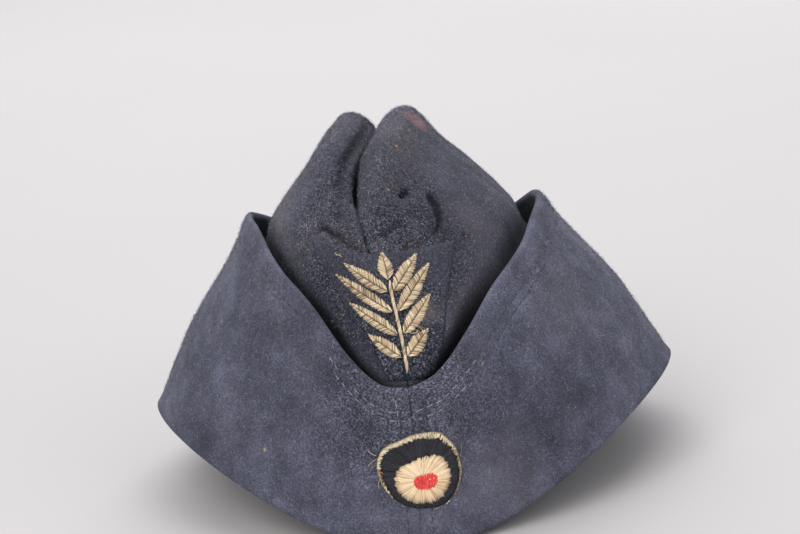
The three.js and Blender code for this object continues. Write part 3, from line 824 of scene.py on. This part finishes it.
def front_patch():
    """The shaped patch of wool that carries the sprig, its edge turned down to the crown."""
    across, up = np.meshgrid(np.linspace(0, 1, 61), np.linspace(0, 1, 66))
    low, top = (left + across[..., None] * (right - left) for left, right in PATCH)
    x, z = np.moveaxis(low + up[..., None] * (top - low), -1, 0)
    sag = 1.1 * np.sin(math.pi * across) * up - 0.7 * np.sin(math.pi * up) * (2 * across - 1)
    x, z = x + 0.3 * np.sin(9 * up), z - sag
    inside = np.minimum(PATCH_WIDE * np.minimum(across, 1 - across), PATCH_HIGH * np.minimum(up, 1 - up))
    rounded = np.sqrt(np.clip(1 - (1 - np.clip(inside / PATCH_ROUND, 0, 1)) ** 2, 0, 1))
    over, _ = crown_face(x, z, PATCH_LOW + PATCH_EDGE + (PATCH_THICK - PATCH_EDGE) * rounded)
    under, _ = crown_face(x, z, PATCH_LOW)
    loops = np.concatenate([over, under[:, ::-1]], 1)
    piece = swept("front_patch", loops, [PATCH_WOOL], None, cloth_uv(loops))
    trim(piece, "patch_wool", "emblem_patch")


# The sprig of embroidery: a stem, and leaves by how high they leave it, their tilt and reach.
STEM = {"foot": (0.8, 59.5), "tip": (3.0, 87.0), "width": 1.4}
LEAF = {"width": 4.8, "tip": 0.35, "start": 1.2, "fullness": 0.9, "widest": 0.85}
PAIRS = [(63.5, 12.5), (70.5, 17.0), (77.5, 19.5), (84.0, 15.0)]
LEAVES = [(up, tilt, reach) for up, reach in PAIRS for tilt in (-50, 50)] + [(87.0, 4, 9.5)]
THREAD = {"step": 0.32, "radius": 0.19, "slant": 1.7, "arch": 0.5}


def tones(count, chances=(0.5, 0.27, 0.23)):
    """A tone for each of a row of threads: middle, pale or dark, changing slowly along the row."""
    drift = np.interp(np.arange(count), np.linspace(0, count, 7), RNG.normal(0, 0.16, 7))
    return np.digitize(RNG.random(count) + drift, np.cumsum(chances)[:2])


def leaf(number, up, tilt, reach):
    """Satin stitches from a leaf's midrib out to its edges."""
    foot = np.interp(up, (STEM["foot"][1], STEM["tip"][1]), (STEM["foot"][0], STEM["tip"][0]))
    angle = math.radians(tilt)
    length = reach - LEAF["start"]
    rows = np.arange(0.1, length - 0.1, THREAD["step"])[:, None]
    side = np.repeat([-1.0, 1.0], len(rows))[:, None]
    start = np.concatenate([rows, rows + THREAD["step"] / 2])
    count = len(start)
    end = np.minimum(start + THREAD["slant"] * (1 - start / length) ** 0.5, length)
    swell = np.sin(math.pi * np.clip(end / length, 0, 1) ** LEAF["widest"]) ** LEAF["fullness"]
    edge = (LEAF["tip"] + (LEAF["width"] - LEAF["tip"]) * swell) / 2 + RNG.normal(0, 0.12, (count, 1))
    far = LEAF["start"] + start + (end - start) * STEPS + RNG.normal(0, 0.07, (count, 1))
    aside = side * (0.04 + (edge - 0.04) * STEPS)
    lift = PATCH_TOP - 0.05 + THREAD["arch"] * np.sin(math.pi * (0.12 + 0.84 * STEPS))
    lift = lift + RNG.uniform(-0.1, 0.13, (count, 1))
    x = foot + far * math.sin(angle) + aside * math.cos(angle)
    z = up + far * math.cos(angle) - aside * math.sin(angle)
    radius = THREAD["radius"] * RNG.uniform(0.85, 1.1, count)
    name, node = f"satin_leaf_{number}", f"sprig_leaf_{number}"
    sew(name, crown_face, x, z, lift, radius, BEIGE, tones(count), "beige_thread", node)


def stem():
    """Slanted stem stitches, each starting beside the last."""
    foot, tip = np.array(STEM["foot"]), np.array(STEM["tip"])
    length = np.linalg.norm(tip - foot)
    along = (tip - foot) / length
    aside = np.array([along[1], -along[0]])
    start = np.arange(-0.4, length - 1.5, 0.75)
    far = start[:, None] + np.minimum(3.2, length + 1.2 - start)[:, None] * STEPS
    off = STEM["width"] * (STEPS - 0.5) * 0.55 + RNG.normal(0, 0.05, (len(start), 1))
    x, z = (foot[k] + far * along[k] + off * aside[k] for k in (0, 1))
    lift = PATCH_TOP + 0.1 + 0.55 * np.sin(math.pi * STEPS) ** 0.7
    slots = tones(len(start))
    sew("stem_stitches", crown_face, x, z, lift, 0.33, BEIGE, slots, "beige_thread", "sprig_stem")


front_patch()
for NUMBER, (UP, TILT, REACH) in enumerate(LEAVES, 1):
    leaf(NUMBER, UP, TILT, REACH)
stem()


# ---------------- roundel

ROUNDEL = {"x": 1.0, "z": 26.9}
CREAM_CENTRE = (0.65, -2.55)
RED_CENTRE = (1.4, -3.15)
FELT_LOW, FELT_TOP = 0.1, 0.95

# Radii of the worn, uneven shapes by angle in degrees, counted from the right through the top.
FELT_EDGE = table("at reach", [
    (-17, 12.5), (13, 12.2), (28, 12.6), (47, 13.3), (64, 14.1), (76, 13.6), (95, 12.8),
    (115, 12.4), (141, 13.4), (161, 13.1), (190, 12.3), (213, 12), (234, 12.4), (258, 12.8),
    (278, 13.1), (296, 13.8), (322, 13.2), (343, 12.5), (373, 12.2),
])
CREAM_EDGE = table("at reach", [
    (-30, 8.3), (0, 8.4), (30, 8.8), (56, 9.5), (75, 8.4), (90, 7.7), (120, 7.1), (150, 8.2),
    (180, 8.4), (215, 8.3), (245, 8.5), (270, 8.1), (300, 8.8), (330, 8.3), (360, 8.4), (390, 8.8),
])
RED_EDGE = table("at reach", [
    (-42, 3.1), (-11, 3.4), (7, 3.8), (39, 3.8), (68, 2.9), (84, 2.3), (100, 1.9), (121, 2.7),
    (145, 3.3), (175, 3.5), (215, 3.3), (242, 2.95), (280, 2.7), (318, 3.1), (349, 3.4), (367, 3.8),
])
BORDER_WIDTH = table("at width", [
    (-30, 0.5), (0, 0.7), (28, 0.95), (47, 1.4), (64, 1.65), (90, 1.5), (115, 1.4), (150, 1.35),
    (180, 1), (210, 0.8), (228, 0.35), (262, 0.15), (288, 0.3), (305, 0.2), (330, 0.5), (360, 0.7),
])


def badge_face(x, z, lift):
    """Points over the flap's outer face as a stiff badge lies on it, bridging the seam."""
    x, z, lift = np.broadcast_arrays(x, z, lift)
    points, normals = 0.0, 0.0
    shifts = (-3.0, -1.5, 0.0, 1.5, 3.0)
    for shift in shifts:
        side, turn, around = behind(ROUNDEL["x"] + x + shift, ROUNDEL["z"] + z)
        out = outward(form, side, turn, around)
        bare = on_flap(side, turn, around, 0 * turn) + out * (FLAP_CLOTH + lift)[..., None]
        points = points + (bare - (shift, 0, 0)) / len(shifts)
        normals = normals + out
    return points, unit(normals)


def polar(centre, degrees, reach):
    angle = np.radians(degrees)
    return centre[0] + reach * np.cos(angle), centre[1] + reach * np.sin(angle)


def felt_backing():
    """The badge's black felt, with a softly rounded, uneven edge."""
    degrees = np.linspace(0, 360, 144, endpoint=False)
    edge = curve(FELT_EDGE, "reach", degrees) + 0.06 * RNG.normal(size=144)
    profile = [(0.004, 0), (0.5, 0), (0.85, 0), (0.96, 0.05), (0.99, 0.3), (1.0, 0.55), (0.985, 0.85)]
    profile += [(0.96, 0.97)] + [(share, 1.0) for share in (0.9, 0.75, 0.55, 0.35, 0.15, 0.004)]
    loops = []
    for share, up in profile:
        x, z = polar((0, 0), degrees, edge * share)
        loops.append(badge_face(x, z, FELT_LOW + (FELT_TOP - FELT_LOW) * up)[0])
    trim(swept("felt_backing", np.stack(loops), [BLACK_FELT]), "black_felt", "roundel_backing")


def radial(centre, degrees, inner, outer):
    """Places of threads laid from an inner to an outer radius, at given angles."""
    twist = RNG.normal(0, 1.6, (len(degrees), 1)) * FINE_STEPS
    reach = inner[:, None] + (outer - inner)[:, None] * FINE_STEPS
    return polar(centre, degrees[:, None] + twist, reach)


RADIAL_ARCH = np.sin(math.pi * (0.06 + 0.88 * FINE_STEPS))


def black_ring():
    """Fine black threads over the felt, fraying into it at the outer edge."""
    count = 900
    degrees = np.sort(RNG.uniform(0, 360, count))
    x, z = polar(CREAM_CENTRE, degrees, curve(CREAM_EDGE, "reach", degrees) - 0.7)
    about, inner = np.degrees(np.arctan2(z, x)) % 360, np.hypot(x, z)
    outer = curve(FELT_EDGE, "reach", about) - 0.4 - RNG.uniform(0, 0.9, count)
    slots = RNG.random(count) < 0.3
    lift = FELT_TOP - 0.06 + RNG.uniform(-0.03, 0.06, (count, 1)) + 0.16 * RADIAL_ARCH
    radius = RNG.uniform(0.09, 0.15, count)
    x, z = radial((0, 0), about, inner, outer)
    sew("black_threads", badge_face, x, z, lift, radius, BLACK, slots, "black_thread", "roundel_black")


def cream_ring():
    """Three layers of long fine threads, ragged at their outer ends."""
    count = 760
    degrees = np.sort(RNG.uniform(0, 360, count))
    layer = 0.13 * (np.arange(count) % 3) + RNG.uniform(-0.04, 0.05, count)
    ragged = 0.22 * np.sin(np.radians(degrees) * 23 + 1) + RNG.uniform(-0.5, 0.28, count)
    outer = curve(CREAM_EDGE, "reach", degrees) + ragged
    inner = RNG.uniform(0.2, 1.4, count)
    radius = RNG.uniform(0.1, 0.17, count)
    slots = tones(count, (0.56, 0.3, 0.14))
    lift = FELT_TOP + 0.08 + layer[:, None] + 0.3 * RADIAL_ARCH
    x, z = radial(CREAM_CENTRE, degrees, inner, outer)
    sew("cream_threads", badge_face, x, z, lift, radius, CREAM, slots, "cream_thread", "roundel_cream")


def red_centre():
    """Short upright stitches fill the worn middle: three rows over a lower layer, and one stray."""
    dense = np.linspace(0, 360, 361)
    reach = curve(RED_EDGE, "reach", np.where(dense > 318, dense - 360, dense))
    edge_x, edge_z = polar((0, 0), dense, reach)
    upper = dense <= 180
    stitches = []
    for row in range(3):
        across = np.arange(-3.8, 3.9, 0.2) + 0.07 * row
        top = np.interp(across, edge_x[upper][::-1], edge_z[upper][::-1])
        low = np.interp(across, edge_x[~upper], edge_z[~upper])
        keep = (top - low > 0.6) & (across > edge_x.min()) & (across < edge_x.max())
        across, top, low = across[keep], top[keep], low[keep]
        share = np.array([row, row + 1.3]) / 3.3 + RNG.normal(0, 0.05, (len(across), 2))
        ragged = RNG.normal(0, 0.05, (len(across), 2)) + 0.04
        if row == 0:
            share[:, 0] = -ragged[:, 0]
        if row == 2:
            share[:, 1] = 1 + ragged[:, 1]
        ends = low[:, None] + (top - low)[:, None] * share + RNG.normal(0, 0.1, (len(across), 2))
        slant = RNG.normal(0, 0.07, len(across))
        stitches.append(np.stack([across, ends[:, 0], across + slant, ends[:, 1]], -1))
    stitches.append(np.stack([across, low * 0.93, across + 0.05, top * 0.93], -1))
    stitches = np.append(np.concatenate(stitches) + RED_CENTRE * 2, [(-11.7, 1.2, -11.1, 0.3)], 0)
    count = len(stitches)
    start, end = stitches[:, :2].T[..., None], stitches[:, 2:].T[..., None]
    x, z = start + (end - start) * FINE_STEPS
    arch = 0.16 * np.sin(math.pi * (0.05 + 0.9 * FINE_STEPS))
    lift = FELT_TOP + 0.62 + (arch + RNG.uniform(-0.06, 0.06, (count, 1)))
    lift[-1 - len(across):] = FELT_TOP + 0.5
    slots = RNG.random(count) < 0.4
    radius = RNG.uniform(0.12, 0.17, count)
    sew("red_threads", badge_face, x, z, lift, radius, RED, slots, "red_thread", "roundel_red")


def border_cord():
    """The couched cord round the badge's edge, in short turns, worn away along its lower right."""
    degrees = np.linspace(-32, 226, 260)
    width = curve(BORDER_WIDTH, "width", degrees)
    wobble = 0.06 * np.sin(np.radians(degrees) * 37) + 0.08 * np.sin(np.radians(degrees) * 11 + 2)
    x, z = polar((0, 0), degrees, curve(FELT_EDGE, "reach", degrees) + 0.1 + wobble)
    turns = np.arange(0, 247, 12)[:, None] + np.arange(14)
    size = 0.14 + 0.16 * np.clip(width[turns[:, 6]] / 1.5, 0, 1)
    sew(
        "border_cord", badge_face, x[turns], z[turns], FELT_TOP - 0.3, size, [BORDER[2]], None,
        "pale_thread", flat=1.0, taper=0.9,
    )


def pale_border():
    """Overcast stitches round the badge, long and bright over its top and worn away below."""
    degrees = np.arange(0, 360, 0.95)
    degrees = degrees + RNG.normal(0, 0.3, len(degrees))
    width = curve(BORDER_WIDTH, "width", np.where(degrees > 330, degrees - 360, degrees))
    kept = RNG.random(len(degrees)) < np.clip(width * 1.1 - 0.1, 0.08, 1)
    degrees, width = degrees[kept], width[kept]
    count = len(degrees)
    inner = width * RNG.uniform(0.7, 1.35, count)
    reach = (curve(FELT_EDGE, "reach", degrees) + 0.3)[:, None] - inner[:, None] * (1 - FINE_STEPS)
    lean_over = RNG.normal(2.0, 1.8, (count, 1)) * (FINE_STEPS - 0.5)
    x, z = polar((0, 0), degrees[:, None] + lean_over, reach)
    lift = FELT_TOP + 0.08 + 0.3 * np.sin(math.pi * (0.1 + 0.6 * FINE_STEPS)) - 0.8 * FINE_STEPS**3
    top = np.exp(-(((degrees - 105) / 62) ** 2))
    slots = np.where(RNG.random(count) < 0.15 + 0.55 * top, 1, np.where(top < 0.35, 2, 0))
    radius = RNG.uniform(0.09, 0.16, count)
    sew("border_threads", badge_face, x, z, lift, radius, BORDER, slots, "pale_thread", "roundel_border")


felt_backing()
black_ring()
cream_ring()
red_centre()
border_cord()
pale_border()


# ---------------- loose fibres

# Ends worked loose at the badge's edge, and by the foot and the top of the sprig.
BADGE_ENDS = [
    ((-12.4, 5.8), (-14.6, 4.4), (-16.0, 2.6)),
    ((-12.6, 6.6), (-13.9, 6.8), (-15.2, 8.4)),
    ((-12.9, 4.4), (-14.2, 2.0), (-15.6, 1.4)),
    ((-12.3, -1.6), (-13.4, -3.2), (-13.2, -5.0)),
    ((12.2, 3.0), (13.1, 5.4), (13.0, 8.4)),
    ((11.9, -3.4), (12.9, -2.2), (12.6, -0.6)),
]
SPRIG_ENDS = [
    ((7.4, 73.0), (8.8, 72.0), (9.8, 69.6)),
    ((6.2, 72.4), (8.4, 73.4), (10.2, 71.0)),
    ((4.4, 71.4), (6.8, 70.2), (7.6, 71.8)),
    ((-10.6, 96.6), (-9.6, 95.6), (-8.8, 96.2)),
    ((-10.4, 95.8), (-9.2, 96.4), (-8.6, 95.4)),
]
FIBRE_COUNT = 22500          # on each half of the crown and of the flap


def loose_threads():
    """Thin thread ends, each a curl from the first of its three places to the last."""
    steps = np.linspace(0, 1, 9)
    curl = np.array([(1 - steps) ** 2, 2 * steps * (1 - steps), steps**2])
    slots = [0, 1, 2, 0, 2, 2]
    x, z = np.einsum("eki,ks->ies", np.array(BADGE_ENDS), curl)
    sew("loose_pale_threads", badge_face, x, z, 0.8 - 0.4 * steps, 0.07, BORDER, slots, "pale_thread")
    lift, slots = PATCH_TOP + 0.2 + 0.5 * np.sin(math.pi * steps), [0, 2, 1, 1, 0]
    x, z = np.einsum("eki,ks->ies", np.array(SPRIG_ENDS), curl)
    sew("loose_beige_threads", crown_face, x, z, lift, 0.09, BEIGE, slots, "beige_thread")


def fuzz(cloth, name, side):
    """Short bent fibres standing off the crown's or the flap's cloth."""
    surface, low = {"crown": (over_crown, 0.35), "flap": (over_flap, 0.02)}[cloth]
    count = FIBRE_COUNT
    turn = math.pi * RNG.random(count)
    high = flap_top(side, turn) if cloth == "flap" else 1.0
    points, normals = surface(side, turn, low + (high - low) * RNG.random(count) ** 0.85)
    along = unit(np.cross(normals, RNG.normal(size=(count, 3))))
    aside = unit(np.cross(along, unit(RNG.normal(size=(count, 3)))))
    length = RNG.uniform(0.7, 2.0, (count, 1))
    height = length * RNG.uniform(0.12, 0.5, (count, 1))
    width = RNG.uniform(0.035, 0.06, (count, 1))
    curl = unit(np.cross(along, normals)) * (RNG.normal(0, 0.18, (count, 1)) * length)
    rows = []
    for share, up, thin in ((0.0, -0.05, 1.0), (0.5, 0.8, 1.0), (1.0, 1.0, 0.4)):
        middle = points + along * (length * share) + normals * (height * up)
        middle = middle + curl * math.sin(math.pi * share)
        half = aside * (width * thin) / 2
        rows += [middle - half, middle + half]
    base = (np.arange(count) * 6)[:, None, None]
    quads = (np.array([[0, 1, 3, 2], [2, 3, 5, 4]])[None] + base).reshape(-1, 4)
    slots = np.repeat(np.digitize(RNG.random(count), (0.38, 0.78)), 2)
    vertices = np.stack(rows, 1).reshape(-1, 3)
    trim(new_piece(f"{cloth}_fuzz_{name}", vertices, quads, FIBRES, slots), f"{cloth}_wool")


loose_threads()
for NAME, SIDE in SIDES.items():
    fuzz("crown", NAME, SIDE)
    fuzz("flap", NAME, SIDE)


# ---------------- camera, floor and lights

CAMERA = {"azimuth": 2.3, "elevation": 15.0, "roll": 6.3, "distance": 0.9, "lens": 111.15}
AIM = (0, 0, 0.062)
AIM_ABOVE, AIM_LEFT = 0.01057, 0.0018


def place_camera():
    """A view from just right of the front, a little above, tilted as a hand-held one is."""
    azimuth, elevation, roll = (math.radians(CAMERA[k]) for k in ("azimuth", "elevation", "roll"))
    data = bpy.data.cameras.new("camera")
    data.lens = CAMERA["lens"]
    data.sensor_width = 36
    camera = bpy.data.objects.new("camera", data)
    turned = Matrix.Rotation(azimuth, 4, "Z") @ Matrix.Rotation(math.pi / 2 - elevation, 4, "X")
    turned = turned @ Matrix.Rotation(-roll, 4, "Z")
    off = Matrix.Translation((-AIM_LEFT, AIM_ABOVE, CAMERA["distance"]))
    camera.matrix_world = Matrix.Translation(AIM) @ turned @ off
    bpy.context.scene.collection.objects.link(camera)
    bpy.context.scene.camera = camera


def lamp(name, place, size, power, color, aim=(0, 0, 0.06)):
    data = bpy.data.lights.new(name, "AREA")
    data.shape = "RECTANGLE"
    data.size, data.size_y = size
    data.energy = power
    data.color = color
    light = bpy.data.objects.new(name, data)
    light.location = place
    light.rotation_euler = (Vector(aim) - Vector(place)).to_track_quat("-Z", "Y").to_euler()
    bpy.context.scene.collection.objects.link(light)


def pale_floor():
    """A plain pale table top that runs on behind the cap."""
    reach = 6000
    near, far = -2500, 2 * reach
    corners = np.array([(-reach, near, 0), (reach, near, 0), (reach, far, 0), (-reach, far, 0)])
    shader = Shader("floor_paint", 0.85)
    tone = shader.spread(shader.noise(300), 0.3, 0.7)
    shader.color(shader.mix(tone, srgb(182, 179, 180), srgb(179, 176, 177)))
    shader.bump(shader.noise(0.6, detail=3.0), 0.02)
    floor = new_piece("floor", corners, np.array([[0, 1, 2, 3]]), [shader.material], smooth=False)


pale_floor()
place_camera()
lamp("key", (-0.55, -1.3, 1.15), (1.2, 1.2), 21, (1.0, 0.985, 0.965))
lamp("fill", (1.1, -1.1, 0.75), (1.2, 1.2), 6, (0.96, 0.97, 1.0))
lamp("top", (0.1, 0.3, 1.7), (1.6, 1.6), 14, (1.0, 1.0, 1.0))
lamp("back", (0, 1.3, 1.3), (2.2, 0.7), 18, (1.0, 1.0, 1.0), aim=(0, 1.3, 0))
WORLD = bpy.data.worlds.new("room")
bpy.context.scene.world = WORLD
WORLD.use_nodes = True
BACKGROUND = WORLD.node_tree.nodes["Background"].inputs
BACKGROUND["Color"].default_value = (0.93, 0.94, 0.96, 1)
BACKGROUND["Strength"].default_value = 0.7
bpy.context.scene.view_settings.view_transform = "Standard"
